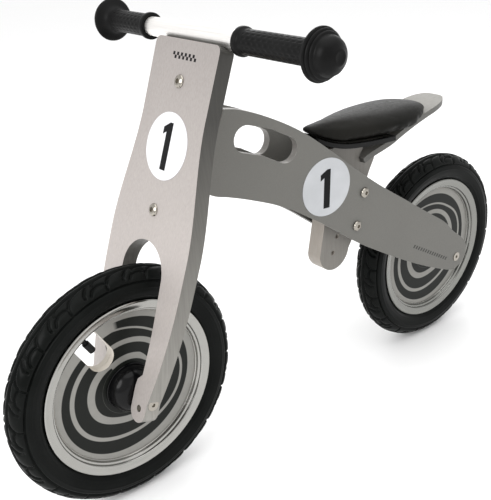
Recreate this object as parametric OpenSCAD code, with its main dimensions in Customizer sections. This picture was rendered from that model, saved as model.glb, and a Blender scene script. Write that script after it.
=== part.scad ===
// Child's balance bike: two plank frame, flat plate fork, air tyres on disc wheels.
// Millimetres. +X points to the rear, -Y is the rider's left, +Z is up.
// The origin is on the ground, midway between the two axles, on the centre plane.

/* [Bike] */
// Distance between the two axles
wheelbase = 560; // [480:5:700]
// Outer radius of the tyre
wheel_r = 150; // [130:1:180]
// Lean of the fork plate from upright, in degrees
head_tilt = 19.6; // [15:0.1:23]

/* [Fork plate] */
// Thickness of the fork plate
fork_t = 19; // [15:0.5:24]
// Half width of the plate under the handlebar
fork_top_half = 59; // [50:1:65]
// Half width at the shoulders above the legs
fork_flare_half = 78; // [72:1:90]
// Half width of the arch over the tyre
arch_half = 40; // [34:1:46]
// Gap between the tyre and the top of the arch
arch_gap = 28; // [15:1:40]
// Height of the lower fork bolt above the arch
bolt_over_arch = 36; // [25:1:60]
// Distance between the two fork bolts
bolt_pitch = 145; // [125:1:180]
// Height of the plate above the upper fork bolt
plate_over_bolt = 45; // [30:1:60]
// Half distance between the two leg tips, at their inner faces
leg_in = 32.5; // [29:0.5:36]
// Width of a leg tip
leg_tip_w = 28; // [24:1:30]

/* [Handlebar and grips] */
// Radius of the handlebar tube
bar_r = 11; // [9:0.5:14]
// Wall of the handlebar tube
bar_wall = 1.6; // [1:0.1:3]
// How deep the bar is seated in the top edge of the plate
saddle_depth = 2; // [1:0.5:5]
// Distance of the grip flanges from the centre plane
flange_y = 184.5; // [160:0.5:220]
// Inner end of the left grip
grip_in_left = 70; // [64:1:100]
// Inner end of the right grip
grip_in_right = 96; // [64:1:110]
// Wall of the grip
grip_wall = 2.4; // [1.5:0.1:4]
// Radius of the grip flange
flange_r = 26; // [20:0.5:32]

/* [Steering] */
// Distance from the back of the fork plate to the steering axis
steer_reach = 17.5; // [16.5:0.25:22]
// Radius of the steering rod
rod_r = 5; // [4:0.25:6]
// Radius of the eyes of the two steering lugs
eye_r = 12; // [10:0.5:14]
// Gap between the fork plate and the front edges of the frame plates
plate_gap = 30; // [28:0.5:34]
// Wall of the steering bushes
bush_wall = 3; // [2:0.25:4]

/* [Frame plates] */
// Thickness of each frame plate
plate_t = 10; // [8:0.5:13]
// Half width over the two plates at the head
head_half = 20; // [19:0.5:24]
// Side clearance between the rear tyre and a frame plate, at the axle
tyre_side_gap = 28; // [20:0.5:32]
// Radius of the ends of the handle slot
slot_r = 16.5; // [14:0.5:20]
// Radius of the round number discs on the frame
side_disc_r = 39; // [30:1:40]
// Radius of the round number disc on the fork
front_disc_r = 38; // [30:1:45]
// Thickness of the number discs
disc_label_t = 0.6; // [0.4:0.1:1]

/* [Seat] */
// Thickness of the seat post plank
post_t = 24; // [18:1:30]
// Radius of the round lower end of the post
post_end_r = 28.5; // [25:0.5:35]
// Radius of the bolts through the post
post_bolt_r = 3; // [2.5:0.25:4]
// Distance between the two spare holes of the post
spare_pitch = 23.9; // [20:0.1:28]
// Thickness of the bent seat base
base_t = 6; // [4:0.5:8]
// Half width of the seat pad
pad_half = 53; // [45:1:60]
// Length of the seat pad
pad_len = 230; // [200:1:250]
// Height of the pad's crown over the flat of its deck
pad_crown = 37.5; // [34:0.5:46]
// Thickness of the bent tail board
tail_t = 8; // [6:0.5:10]
// Half width of the tail board
tail_half = 31; // [26:1:40]

/* [Wheels] */
// Radius of the tyre section
tyre_sec_r = 22; // [18:0.5:26]
// Wall of the tyre
tyre_wall = 4; // [2.5:0.25:5]
// Height of the tyre above the outer edge of the rim
tyre_high = 37.5; // [32:0.5:42]
// Half width of the rim
rim_half = 17.5; // [14:0.5:19]
// Radial depth of the rim
rim_depth = 16; // [13:0.5:18]
// Thickness of each of the two disc halves
disc_t = 8; // [6:0.5:10]
// Half width of the raised inner lip of the rim
lip_half = 15; // [12:0.5:16]
// Width of the valve cut-out
valve_gap_w = 32; // [24:1:36]
// Radius of the axle
axle_r = 4; // [3:0.25:6]
// Radius of the hub barrel
hub_r = 20; // [16:0.5:24]
// Radius of the black hub domes
dome_r = 30; // [24:1:34]
// Wall of the hub bushes
hub_bush_wall = 5; // [3:0.5:6]
// Direction of the front valve, in degrees from the rear
valve_front_deg = 120.6; // [90:0.1:150]
// Direction of the rear valve, in degrees from the rear
valve_rear_deg = 149; // [120:0.5:200]

/* [Fasteners and fits] */
// Radius of the fork bolts
fork_bolt_r = 3; // [2.5:0.25:4]
// Radius of the heads of the fork bolts
head_r = 7; // [6:0.25:9]
// Height of a bolt head
head_h = 3.5; // [2:0.25:5]
// Radius of the wood screws
screw_r = 2; // [1.5:0.25:3]
// Play around bolts and screws
hole_play = 0.15; // [0.1:0.05:0.5]
// Play of a running fit, on the radius
run_play = 0.06; // [0.03:0.01:0.1]
// Play between stacked or seated pieces
seat_play = 0.1; // [0.05:0.05:0.3]

/* [Hidden] */
$fn = 96;

silver = [0.76, 0.75, 0.73];
plate_grey = [0.50, 0.50, 0.48];
black = [0.08, 0.08, 0.08];
steel = [0.72, 0.70, 0.66];
beech = [0.80, 0.68, 0.50];
label_white = [0.93, 0.93, 0.94];

// Fork plate stations, measured along the plate from the front axle
arch_top = wheel_r + arch_gap;
lower_bolt = arch_top + bolt_over_arch;
upper_bolt = lower_bolt + bolt_pitch;
plate_top = upper_bolt + plate_over_bolt;
bar_z = plate_top + bar_r - saddle_depth;
bar_x = 6;
leg_out = leg_in + leg_tip_w;
tip_r = leg_tip_w / 2;
tip_z = -12;
corner_r = 8;
leg_screw_z = -9;
bar_screw_y = 36;
arch_c = arch_top - arch_half;
leg_bow = 3;
flare_low = arch_top - 6;
flare_high = arch_top + 147;
knee_z = wheel_r;
boss_z = 30;

// Steering stack, along the steering axis
steer_x = fork_t / 2 + steer_reach;
lug_h = 32;
lug_half = eye_r;
flange_t = 3;
washer_t = 2.8;
lug_low_top = lower_bolt + 26;
lug_low_bottom = lug_low_top - 40;
block_bottom = lug_low_top + washer_t + flange_t + 2 * seat_play;
lug_up_bottom = upper_bolt - 18;
lug_up_top = lug_up_bottom + lug_h;
block_top = lug_up_bottom - washer_t - flange_t - 2 * seat_play;
nose_r = 13.5;
block_back = 40;
dowel_r = 3;
dowel_in = 6;
dowel_len = 12;
bush_r = rod_r + run_play + bush_wall;
bush_len = 24;
rod_low = lug_low_bottom - 5;
rod_high = lug_up_top + 5;
nut_r = 8.5;
nut_h = 4.5;

// Frame widths
gap_half = tyre_sec_r + tyre_side_gap;
plate_out = gap_half + plate_t;
// Handles of the frame outline: the line from the head to the rear axle
head_low = lower_bolt + 28;
head_high = upper_bolt - 20;
front_x = fork_t / 2 + plate_gap;
head_mid = (head_low + head_high) / 2;
axle_f = [-wheelbase / 2, wheel_r];
axle_b = [wheelbase / 2, wheel_r];
fork_up = [sin(head_tilt), cos(head_tilt)];
fork_back = [cos(head_tilt), -sin(head_tilt)];
function fork_xz(x, z) = axle_f + x * fork_back + z * fork_up;
spine_a = fork_xz(front_x, head_mid);
spine_len = norm(axle_b - spine_a);
spine_u = (axle_b - spine_a) / spine_len;
spine_n = [-spine_u[1], spine_u[0]];
function on_spine(f, h) = spine_a + f * spine_len * spine_u + h * spine_n;

// The plates stand wide at the rear axle and lean inwards towards the head
splay = atan((plate_out - head_half) / (axle_b[0] - spine_a[0]));
function inner_y(x) = gap_half - (axle_b[0] - x) * tan(splay);
function outer_y(x) = inner_y(x) + plate_t;

// Outlines: share of the spine's length, height over it
top_edge = [[0.014, 54], [0.061, 59], [0.11, 62.4], [0.17, 64.6], [0.225, 64.6], [0.286, 62.4],
    [0.353, 58.8], [0.426, 54], [0.501, 50], [0.58, 47], [0.672, 45.2], [0.77, 42.8], [0.872, 40.9]];
low_edge = [[0.96, -26], [0.907, -29.6], [0.854, -32.2], [0.802, -34], [0.75, -35.2], [0.68, -36],
    [0.601, -36.2], [0.55, -35.3], [0.485, -32.6], [0.417, -29.9], [0.35, -28.6], [0.29, -28],
    [0.231, -30.2], [0.186, -33.3], [0.137, -37.5], [0.092, -42.3], [0.055, -47]];
tail_end = [[-12, 47.5], [3.5, 35], [14, 25.5], [20, 16], [21, 5], [16, -9.5], [4.5, -17.8], [-9, -19.7]];
slot_ends = [[0.072, 28], [0.135, 35.2], [0.198, 36.6]];
disc_spot = [0.371, 15.7];

// Seat: all offsets are taken from this point of the post
post_anchor = on_spine(0.5795, -16);
lower_post_bolt = post_anchor + [-19, 13];
upper_post_bolt = post_anchor + [-6.5, 58];
spare_dir = [0.333, 0.943];
spare_high = lower_post_bolt - spare_pitch * spare_dir;
spare_low = spare_high - spare_pitch * spare_dir;
post_end_c = post_anchor + [-32, -30];
deck_z = 120;

// Tail board: an arc whose slope runs from tail_a0 to tail_a1
foot_dx = 15;
foot_dz = 95;
tail_foot = post_anchor + [foot_dx, foot_dz];
tail_a0 = 27;
tail_a1 = 8;
tail_run = 172;
tail_bend = tail_run / (sin(tail_a0) - sin(tail_a1));
function tail_x(a) = tail_bend * (sin(tail_a0) - sin(a));
function tail_z(a) = tail_bend * (cos(a) - cos(tail_a0));
function tail_at(x) = let (s = sin(tail_a0) - (x - foot_dx) / tail_bend)
    foot_dz - deck_z + tail_bend * (sqrt(1 - s * s) - cos(tail_a0));

// Seat base and pad, as heights over the flat of the deck
base_inset = 4;
base_front = -64;
base_rear = 46;
pad_front = -81;
pad_lift = 0.4;
pad_rim = 3;
pad_nose_half = 12;
rear_drop = 9;
rear_bend = 75;
nose_rise = 24;
nose_len = 66;
function pad_u(x) = (x - pad_front) / pad_len;
function pad_w(u) = (pad_nose_half + (pad_half - pad_nose_half) * pow(sin(90 * min(1, u / 0.6)), 1.2))
    * (u < 0.05 ? sqrt(1 - pow(1 - u / 0.05, 2)) : u > 0.68 ? sqrt(1 - pow((u - 0.68) / 0.32, 1.7)) : 1);
function base_rise(x) = nose_rise * pow(max(0, pad_front + nose_len - x) / nose_len, 2);
function base_half(x) = pad_w(pad_u(x)) - base_inset;
function pad_under(x) = max(base_t + base_rise(x), x < base_rear ? 0 : tail_at(x)) + pad_lift;
function pad_over(x) = pad_crown
    - rear_drop * pow(max(0, (x - rear_bend) / (pad_front + pad_len - rear_bend)), 2.2);

// Valve cut-out
cut_c = 60;
rim_r = wheel_r - tyre_high;
rim_in = rim_r - rim_depth;
barrel_half = disc_t;
lip_slope = 4;
bush_out = axle_r + run_play + hub_bush_wall;
stem_r = 3.2;
stem_len = 22;
cap_r = 4.4;
bush_face = disc_t + 1.5;
cap_head_r = 7;
cap_head_h = 2.5;
end_screw_r = 2.5;
dome_h = leg_in - disc_t - 1.6;

function curve(a, b, c, d, t) = 0.5 * ((2 * b) + (c - a) * t + (2 * a - 5 * b + 4 * c - d) * t * t
    + (3 * b - a - 3 * c + d) * t * t * t);
function smooth(p, n) = let (m = len(p) - 1) concat([for (i = [0:m - 1], j = [0:n - 1])
    curve(p[max(i - 1, 0)], p[i], p[i + 1], p[min(i + 2, m)], j / n)], [p[m]]);
function ease(t) = let (c = max(0, min(1, t))) c * c * (3 - 2 * c);

module on_fork() {
    translate([-wheelbase / 2, 0, wheel_r]) rotate([0, head_tilt, 0]) children();
}

// A flat shape drawn on (across, up) made into a plate whose front face is at x
module plate_x(x, t) {
    translate([x, 0, 0]) rotate([90, 0, 90]) linear_extrude(t) children();
}

// A flat shape drawn on (rearward, up) made into a board from y0 to y1
module board_y(y0, y1) {
    translate([0, y1, 0]) rotate([90, 0, 0]) linear_extrude(y1 - y0) children();
}

// A rod along Y from y0 to y1 at (x, z)
module rod_y(p, r, y0, y1) {
    translate([p[0], y1, p[1]]) rotate([90, 0, 0]) cylinder(r = r, h = y1 - y0);
}

// A rod along X from x0 to x1 at (y, z)
module rod_x(y, z, r, x0, x1) {
    translate([x0, y, z]) rotate([0, 90, 0]) cylinder(r = r, h = x1 - x0);
}

module both_sides() {
    children();
    mirror([0, 1, 0]) children();
}

// Button head with a hexagon socket, its flat seat at z = 0, the dome towards +z
module button_head(r, h) {
    difference() {
        rotate_extrude() polygon([[0, 0], [r, 0], [r, h * 0.25], [r * 0.9, h * 0.6], [r * 0.6, h * 0.92],
            [r * 0.3, h], [0, h]]);
        translate([0, 0, h * 0.4]) cylinder(r = r * 0.42, h = h, $fn = 6);
    }
}

// The left plate's own frame, leaning inwards about the rear axle
module splayed() {
    p = [axle_b[0], -gap_half - plate_t / 2, 0];
    translate(p) rotate([0, 0, -splay]) translate(-p) children();
}

module frame_outline() {
    head = [fork_xz(front_x, head_low), fork_xz(front_x, head_high)];
    top = [for (p = top_edge) on_spine(p[0], p[1])];
    end = [for (p = tail_end) axle_b + p];
    low = [for (p = low_edge) on_spine(p[0], p[1])];
    polygon(smooth(concat([head[1]], top, end, low, [head[0]]), 4));
}

module handle_slot() {
    e = [for (p = slot_ends) on_spine(p[0], p[1])];
    a = [for (i = [0:1]) atan2(e[i + 1][1] - e[i][1], e[i + 1][0] - e[i][0])];
    mid = (a[0] + a[1]) / 2;
    function around(c, t) = c + slot_r * [cos(t), sin(t)];
    polygon(concat([for (t = [90:9:270]) around(e[0], a[0] + t)], [around(e[1], mid - 90)],
        [for (t = [-90:9:90]) around(e[2], a[1] + t)], [around(e[1], mid + 90)]));
}

// Blind dowel holes or dowels between the left plate and the head block
module dowels(r, spare) {
    for (z = [0.22, 0.5, 0.78]) {
        p = fork_xz(front_x + 10, block_bottom + z * (block_top - block_bottom));
        y = -inner_y(p[0]) - dowel_in;
        rod_y(p, r, y - spare, y + dowel_len + spare);
    }
}

module frame_plate() {
    difference() {
        splayed() board_y(-plate_out, -gap_half) difference() {
            frame_outline();
            handle_slot();
        }
        for (p = [lower_post_bolt, upper_post_bolt]) rod_y(p, post_bolt_r + hole_play, -plate_out, 0);
        rod_y(axle_b, axle_r + hole_play, -plate_out, 0);
        rod_y(axle_b, cap_head_r + hole_play, -plate_out - 1, -plate_out + cap_head_h);
        dowels(dowel_r + hole_play, seat_play);
    }
}

module frame_plate_left() {
    color(plate_grey) frame_plate();
}

module frame_plate_right() {
    color(plate_grey) mirror([0, 1, 0]) frame_plate();
}

module head_block() {
    h = block_top - block_bottom;
    color(beech) difference() {
        on_fork() translate([steer_x, 0, block_bottom]) difference() {
            union() {
                cylinder(r = nose_r, h = h);
                translate([0, -nose_r, 0]) cube([block_back, 2 * nose_r, h]);
            }
            translate([0, 0, -1]) cylinder(r = bush_r + seat_play, h = h + 2);
        }
        both_sides() {
            splayed() board_y(-plate_out - 10, seat_play - gap_half) polygon([
                fork_xz(front_x - seat_play, 0), fork_xz(front_x - seat_play, 600),
                fork_xz(front_x + block_back, 600), fork_xz(front_x + block_back, 0)]);
            dowels(dowel_r + hole_play, seat_play);
        }
    }
}

module head_bush() {
    difference() {
        union() {
            cylinder(r = bush_r, h = bush_len);
            translate([0, 0, bush_len]) cylinder(r = bush_r + 5, h = flange_t);
        }
        translate([0, 0, -1]) cylinder(r = rod_r + run_play, h = bush_len + flange_t + 2);
    }
}

module head_bush_upper() {
    color(black) on_fork() translate([steer_x, 0, block_top - bush_len]) head_bush();
}

module head_bush_lower() {
    color(black) on_fork() translate([steer_x, 0, block_bottom + bush_len]) mirror([0, 0, 1]) head_bush();
}

module head_dowels() {
    color(beech) both_sides() dowels(dowel_r, 0);
}

module post_outline() {
    c = post_end_c;
    a = post_anchor;
    end = [for (i = [0:24]) let (t = -8 - 7 * i) c + post_end_r * [cos(t), sin(t)]];
    front = [end[24], a + [-51, 18], a + [-45, 50], a + [-50, 88], a + [-66, deck_z]];
    rear = [a + [31, deck_z], tail_foot + [-1, 1.2]];
    foot = [for (i = [0:6]) let (t = tail_a0 - i * 0.65) tail_foot + [tail_x(t), tail_z(t)]
        + (tail_t + 0.2) * [sin(t), -cos(t)]];
    back = [a + [44, 86], a + [32, 63], a + [22, 30], a + [15, 4], a + [6, -18], end[0]];
    under = [for (i = [1:23]) end[i]];
    polygon(concat(smooth(front, 5), rear, [foot[0] - [0.9, 0]], foot, smooth(back, 5), under));
}

module tail_screw_spots() {
    for (i = [0, 1]) {
        t = tail_a0 - 0.7 - i * 1.4;
        translate([tail_foot[0] + tail_x(t), 0, tail_foot[1] + tail_z(t)]) rotate([0, -t, 0]) children();
    }
}

module base_screw_spots() {
    for (x = [-36, -8, 16]) translate([post_anchor[0] + x, 0, post_anchor[1] + deck_z]) children();
}

module seat_post() {
    color([0.66, 0.64, 0.60]) difference() {
        board_y(-post_t / 2, post_t / 2) difference() {
            post_outline();
            for (p = [lower_post_bolt, upper_post_bolt, spare_low, spare_high])
                translate(p) circle(r = post_bolt_r + hole_play);
        }
        base_screw_spots() translate([0, 0, -16]) cylinder(r = screw_r + hole_play, h = 20);
        tail_screw_spots() translate([0, 0, -tail_t - 9]) cylinder(r = screw_r + hole_play, h = 20);
    }
}

// Where a bolt head stands clear of the leaning plate
function head_y(p) = outer_y(p[0]) + (head_r + 1) * tan(splay) + 0.02;

module post_bolts() {
    color(steel) for (p = [lower_post_bolt, upper_post_bolt]) {
        rod_y(p, post_bolt_r, -head_y(p), head_y(p) + 6);
        translate([p[0], -head_y(p), p[1]]) rotate([90, 0, 0]) button_head(head_r, head_h);
    }
}

module post_cap_nuts() {
    color(steel) for (p = [lower_post_bolt, upper_post_bolt])
        translate([p[0], head_y(p), p[1]]) rotate([-90, 0, 0]) difference() {
            union() {
                cylinder(r = head_r, h = 5, $fn = 6);
                rotate_extrude() polygon([[0, 5], [5.2, 5], [4.8, 7], [3.4, 8.6], [0, 9.2]]);
            }
            translate([0, 0, -1]) cylinder(r = post_bolt_r + run_play, h = 7.2);
        }
}

module post_spacers() {
    color(black) both_sides() for (p = [lower_post_bolt, upper_post_bolt]) difference() {
        rod_y(p, 8, 8 * tan(splay) + seat_play - inner_y(p[0]), -post_t / 2 - seat_play);
        rod_y(p, post_bolt_r + hole_play, -gap_half, 0);
    }
}

// Tail board seen from above: round tongue, narrowed at its foot
function tail_half_at(u) = tail_half * (0.62 + 0.38 * ease(u / 0.3)) * (u < 0.72 ? 1 : sqrt(max(0.0001,
    1 - pow((u - 0.72) / 0.28, 2.4))));

module tail_board() {
    n = 26;
    arc = [for (i = [0:n]) tail_a0 + (tail_a1 - tail_a0) * i / n];
    over = [for (t = arc) [tail_x(t), tail_z(t)]];
    under = [for (i = [n:-1:0]) over[i] + tail_t * [sin(arc[i]), -cos(arc[i])]];
    edge = [for (i = [0:n]) [over[i][0] + 4 * i / n, tail_half_at(i / n)]];
    color(silver) difference() {
        translate([tail_foot[0], 0, tail_foot[1]]) intersection() {
            board_y(-tail_half - 1, tail_half + 1) polygon(concat(over, under));
            translate([0, 0, -20]) linear_extrude(120) polygon(concat(edge,
                [for (i = [n:-1:0]) [edge[i][0], -edge[i][1]]]));
        }
        tail_screw_spots() {
            translate([0, 0, -tail_t - 1]) cylinder(r = screw_r + hole_play, h = tail_t + 2);
            translate([0, 0, -2.4]) cylinder(r = 4 + hole_play, h = 6);
        }
    }
}

module wood_screw(head, len) {
    translate([0, 0, -len]) cylinder(r = screw_r, h = len);
    difference() {
        translate([0, 0, -2]) cylinder(r = head, h = 2);
        translate([0, 0, -1.2]) cylinder(r = head * 0.4, h = 3, $fn = 6);
    }
}

module tail_screws() {
    color(steel) tail_screw_spots() translate([0, 0, -0.3]) wood_screw(4, tail_t + 7);
}

module seat_base() {
    xs = [for (i = [0:16]) base_front + (base_rear - base_front) * i / 16];
    color([0.15, 0.15, 0.15]) difference() {
        translate([post_anchor[0], 0, post_anchor[1] + deck_z]) intersection() {
            board_y(-pad_half, pad_half) polygon(concat([for (x = xs) [x, base_rise(x)]],
                [for (i = [16:-1:0]) [xs[i], base_rise(xs[i]) + base_t]]));
            translate([0, 0, -1]) linear_extrude(60) polygon(concat([for (x = xs) [x, base_half(x)]],
                [for (i = [16:-1:0]) [xs[i], -base_half(xs[i])]]));
        }
        base_screw_spots() {
            translate([0, 0, -1]) cylinder(r = screw_r + hole_play, h = base_t + 2);
            translate([0, 0, base_t - 2.6]) cylinder(r = 4 + hole_play, h = 6);
        }
    }
}

module seat_base_screws() {
    color(steel) base_screw_spots() translate([0, 0, base_t - 0.4]) wood_screw(4, base_t + 12);
}

// Crowned pad: rings of points from the nose to the rear, closed by a fan at each end
module seat_pad() {
    n = 16;
    m = 16;
    us = [for (i = [0:n]) 0.5 - 0.5 * cos(180 * (0.08 + 0.84 * i / n))];
    ring = [for (u = us) let (x = pad_front + pad_len * u, w = pad_w(u), lo = pad_under(x), hi = pad_over(x))
        [for (k = [0:m - 1]) let (a = 360 * k / m, c = cos(a), s = sin(a))
            [x, w * (c < 0 ? -1 : 1) * pow(abs(c), 0.8), s < 0 ? lo + pad_rim * (1 - pow(-s, 0.6))
                : lo + pad_rim + (hi - lo - pad_rim) * pow(s, 0.75)]]];
    mids = [for (u = [us[0], us[n]]) let (x = pad_front + pad_len * u)
        [x, 0, (pad_under(x) + pad_over(x)) / 2]];
    last = (n + 1) * m;
    sides = [for (i = [0:n - 1], k = [0:m - 1]) let (a = i * m + k, b = i * m + (k + 1) % m)
        each [[a, b + m, b], [a, a + m, b + m]]];
    fans = [for (k = [0:m - 1]) each [[k, (k + 1) % m, last], [n * m + (k + 1) % m, n * m + k, last + 1]]];
    color(black) translate([post_anchor[0], 0, post_anchor[1] + deck_z])
        polyhedron(concat([for (r = ring) each r], mids), concat(sides, fans));
}

module rear_axle() {
    color(steel) difference() {
        rod_y(axle_b, axle_r, -plate_out + cap_head_h + seat_play, plate_out - cap_head_h - seat_play);
        both_sides() rod_y(axle_b, end_screw_r + run_play, -plate_out, -plate_out + 16);
    }
}
module end_screw(len) {
    cylinder(r = end_screw_r, h = len);
    translate([0, 0, len]) difference() {
        cylinder(r = cap_head_r, h = cap_head_h);
        translate([0, 0, 0.8]) cylinder(r = 2.6, h = 4, $fn = 6);
    }
}

module end_screws(c, out) {
    both_sides() translate([c[0], -out + cap_head_h + 12, c[1]]) rotate([90, 0, 0]) end_screw(12);
}

module rear_axle_screws() {
    color(steel) end_screws(axle_b, plate_out + 0.4);
}

module axle_spacer(c, y0, y1) {
    both_sides() difference() {
        rod_y(c, 7, -y1, -y0);
        rod_y(c, axle_r + run_play, -y1 - 1, -y0 + 1);
    }
}

module rear_axle_spacers() {
    color(steel) axle_spacer(axle_b, bush_face + seat_play, gap_half - 8 * tan(splay) - seat_play);
}
module side_disc() {
    splayed() board_y(-plate_out - disc_label_t, -plate_out) translate(on_spine(disc_spot[0], disc_spot[1]))
        circle(r = side_disc_r);
}

module side_disc_left() {
    color(label_white) side_disc();
}

module side_disc_right() {
    color(label_white) mirror([0, 1, 0]) side_disc();
}

function fork_half(z) = z > knee_z ? fork_top_half + (fork_flare_half - fork_top_half)
    * ease((flare_high - z) / (flare_high - flare_low))
    : leg_out + (fork_flare_half - leg_out) * (1 - pow(1 - max(z, 0) / knee_z, 2.2));
function leg_inner(z) = arch_half + leg_bow * sin(180 * z / arch_c);

module fork_outline() {
    zs = [for (i = [0:36]) i * (plate_top - corner_r) / 36];
    right = concat([for (z = zs) [fork_half(z), z]], [for (a = [0:15:90])
        [fork_top_half - corner_r + corner_r * cos(a), plate_top - corner_r + corner_r * sin(a)]]);
    mirrored = [for (i = [len(right) - 1:-1:0]) [-right[i][0], right[i][1]]];
    inner = [[leg_in, 0], [leg_in, boss_z * 0.45], [leg_in + 2, boss_z * 0.75], [leg_inner(boss_z), boss_z]];
    step = (arch_c - boss_z) / 11;
    opening = concat(inner, [for (z = [boss_z + step:step:arch_c + 0.01]) [leg_inner(z), z]]);
    back = [for (i = [len(opening) - 1:-1:0]) [-opening[i][0], opening[i][1]]];
    difference() {
        polygon(concat(right, mirrored));
        polygon(concat(opening, back, [[-leg_in, -1], [leg_in, -1]]));
        translate([0, arch_c]) circle(r = arch_half);
    }
    for (s = [-1, 1]) translate([s * (leg_in + tip_r), 0]) {
        translate([0, tip_z]) circle(r = tip_r);
        translate([-tip_r, tip_z]) square([2 * tip_r, -tip_z]);
    }
}
module fork_plate() {
    color(silver) on_fork() difference() {
        plate_x(-fork_t / 2, fork_t) fork_outline();
        translate([bar_x, -fork_top_half - 1, bar_z]) rotate([-90, 0, 0])
            cylinder(r = bar_r + seat_play, h = 2 * fork_top_half + 2);
        for (z = [lower_bolt, upper_bolt]) rod_x(0, z, fork_bolt_r + hole_play, -fork_t, fork_t);
        both_sides() {
            rod_y([0, 0], axle_r + hole_play, -leg_out - 1, -leg_in + 1);
            rod_y([0, 0], cap_head_r + hole_play, -leg_out - 1, -leg_out + cap_head_h);
            rod_x(-leg_in - tip_r - 1, leg_screw_z, screw_r + hole_play, -fork_t, fork_t / 2 - 3);
            rod_x(-leg_in - tip_r - 1, leg_screw_z, 4 + hole_play, -fork_t, -fork_t / 2 + 2.4);
            translate([bar_x, -bar_screw_y, bar_z - bar_r - 24]) cylinder(r = screw_r + hole_play, h = 40);
        }
    }
}
module handlebar() {
    reach = flange_y + 12;
    color(silver) on_fork() difference() {
        translate([bar_x, -reach, bar_z]) rotate([-90, 0, 0]) difference() {
            cylinder(r = bar_r, h = 2 * reach);
            translate([0, 0, -1]) cylinder(r = bar_r - bar_wall, h = 2 * reach + 2);
        }
        both_sides() {
            translate([bar_x, -bar_screw_y, bar_z - bar_r - 1]) cylinder(r = screw_r + hole_play, h = 30);
            translate([bar_x, -bar_screw_y, bar_z]) cylinder(r = 4.2, h = 30);
        }
    }
}

// The heads sit inside the tube, on its lower wall
module handlebar_screws() {
    color(steel) on_fork() both_sides() translate([bar_x, -bar_screw_y, bar_z - bar_r + bar_wall + 3])
        wood_screw(4, 24);
}

// Grip turned about its own axis; z runs from the inner end outwards
module grip(y_in) {
    L = flange_y - y_in;
    r = bar_r + grip_wall;
    difference() {
        rotate_extrude() polygon([[0, 0], [r + 1.2, 0], [r + 2, 1.2], [r + 2, 7], [r + 1, 9], [r, 10],
            [r, L - 12], [r + 1.5, L - 7], [r + 6, L - 3], [flange_r - 1.5, L - 2], [flange_r, L],
            [flange_r, L + 2], [flange_r - 2, L + 3], [flange_r - 2, L + 4], [flange_r - 2.5, L + 6.5],
            [flange_r - 5, L + 8], [flange_r - 5.5, L + 11], [flange_r - 8, L + 13],
            [flange_r - 9, L + 19], [flange_r - 13, L + 24], [flange_r - 20, L + 26.5], [0, L + 27]]);
        translate([0, 0, -1]) cylinder(r = bar_r + seat_play, h = L + 14);
    }
}

module grip_left() {
    color(black) on_fork() translate([bar_x, -grip_in_left, bar_z]) rotate([90, 0, 0]) grip(grip_in_left);
}

module grip_right() {
    color(black) on_fork() translate([bar_x, grip_in_right, bar_z]) rotate([-90, 0, 0]) grip(grip_in_right);
}

// A steel foot bolted to the back of the fork, with an eye round the rod
module steering_lug(z0, h, bolt) {
    color(black) on_fork() difference() {
        union() {
            translate([fork_t / 2 + seat_play, -lug_half, z0])
                cube([steer_reach - seat_play, 2 * lug_half, h]);
            translate([steer_x, 0, z0]) cylinder(r = eye_r, h = h);
        }
        translate([steer_x, 0, z0 - 1]) cylinder(r = rod_r + run_play, h = h + 2);
        rod_x(0, bolt, fork_bolt_r + run_play, 0, steer_x - rod_r - 3);
    }
}

module steering_lug_upper() {
    steering_lug(lug_up_bottom, lug_h, upper_bolt);
}

module steering_lug_lower() {
    steering_lug(lug_low_bottom, lug_low_top - lug_low_bottom, lower_bolt);
}

module steering_rod() {
    color(steel) on_fork() translate([steer_x, 0, rod_low]) cylinder(r = rod_r, h = rod_high - rod_low);
}

module rod_nuts() {
    color(steel) on_fork() for (z = [lug_low_bottom - nut_h - seat_play, lug_up_top + seat_play])
        translate([steer_x, 0, z]) difference() {
            cylinder(r = nut_r, h = nut_h, $fn = 6);
            translate([0, 0, -1]) cylinder(r = rod_r + run_play, h = nut_h + 2);
        }
}

module steering_washers() {
    color(steel) on_fork() for (z = [lug_low_top + seat_play / 2, lug_up_bottom - washer_t - seat_play / 2])
        translate([steer_x, 0, z]) difference() {
            cylinder(r = bush_r + 4, h = washer_t);
            translate([0, 0, -1]) cylinder(r = rod_r + run_play, h = washer_t + 2);
        }
}

module fork_bolts() {
    color(steel) on_fork() for (z = [lower_bolt, upper_bolt]) {
        rod_x(0, z, fork_bolt_r, -fork_t / 2, steer_x - rod_r - 4);
        translate([-fork_t / 2, 0, z]) rotate([0, -90, 0]) button_head(head_r + 0.5, head_h);
    }
}

module front_axle() {
    color(steel) difference() {
        rod_y(axle_f, axle_r, -leg_out + cap_head_h + seat_play, leg_out - cap_head_h - seat_play);
        both_sides() rod_y(axle_f, end_screw_r + run_play, -leg_out, -leg_out + 16);
    }
}

module front_axle_screws() {
    color(steel) end_screws(axle_f, leg_out + 0.4);
}

module front_axle_spacers() {
    color(steel) axle_spacer(axle_f, bush_face + seat_play, leg_in - seat_play);
}

module leg_screws() {
    color(steel) on_fork() both_sides() translate([-fork_t / 2 + 0.3, -leg_in - tip_r - 1, leg_screw_z])
        rotate([0, -90, 0]) wood_screw(4, fork_t - 6);
}

module front_number_disc() {
    color(label_white) on_fork() plate_x(-fork_t / 2 - disc_label_t, disc_label_t)
        translate([0, upper_bolt - 72]) circle(r = front_disc_r);
}

module at_wheel(c) {
    translate([c[0], 0, c[1]]) rotate([90, 0, 0]) children();
}

module tyre() {
    mid = wheel_r - tyre_sec_r;
    rotate_extrude() intersection() {
        translate([mid, 0]) difference() {
            circle(r = tyre_sec_r);
            circle(r = tyre_sec_r - tyre_wall);
        }
        translate([rim_r, -tyre_sec_r]) square([2 * tyre_sec_r + 20, 2 * tyre_sec_r]);
    }
}

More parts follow.
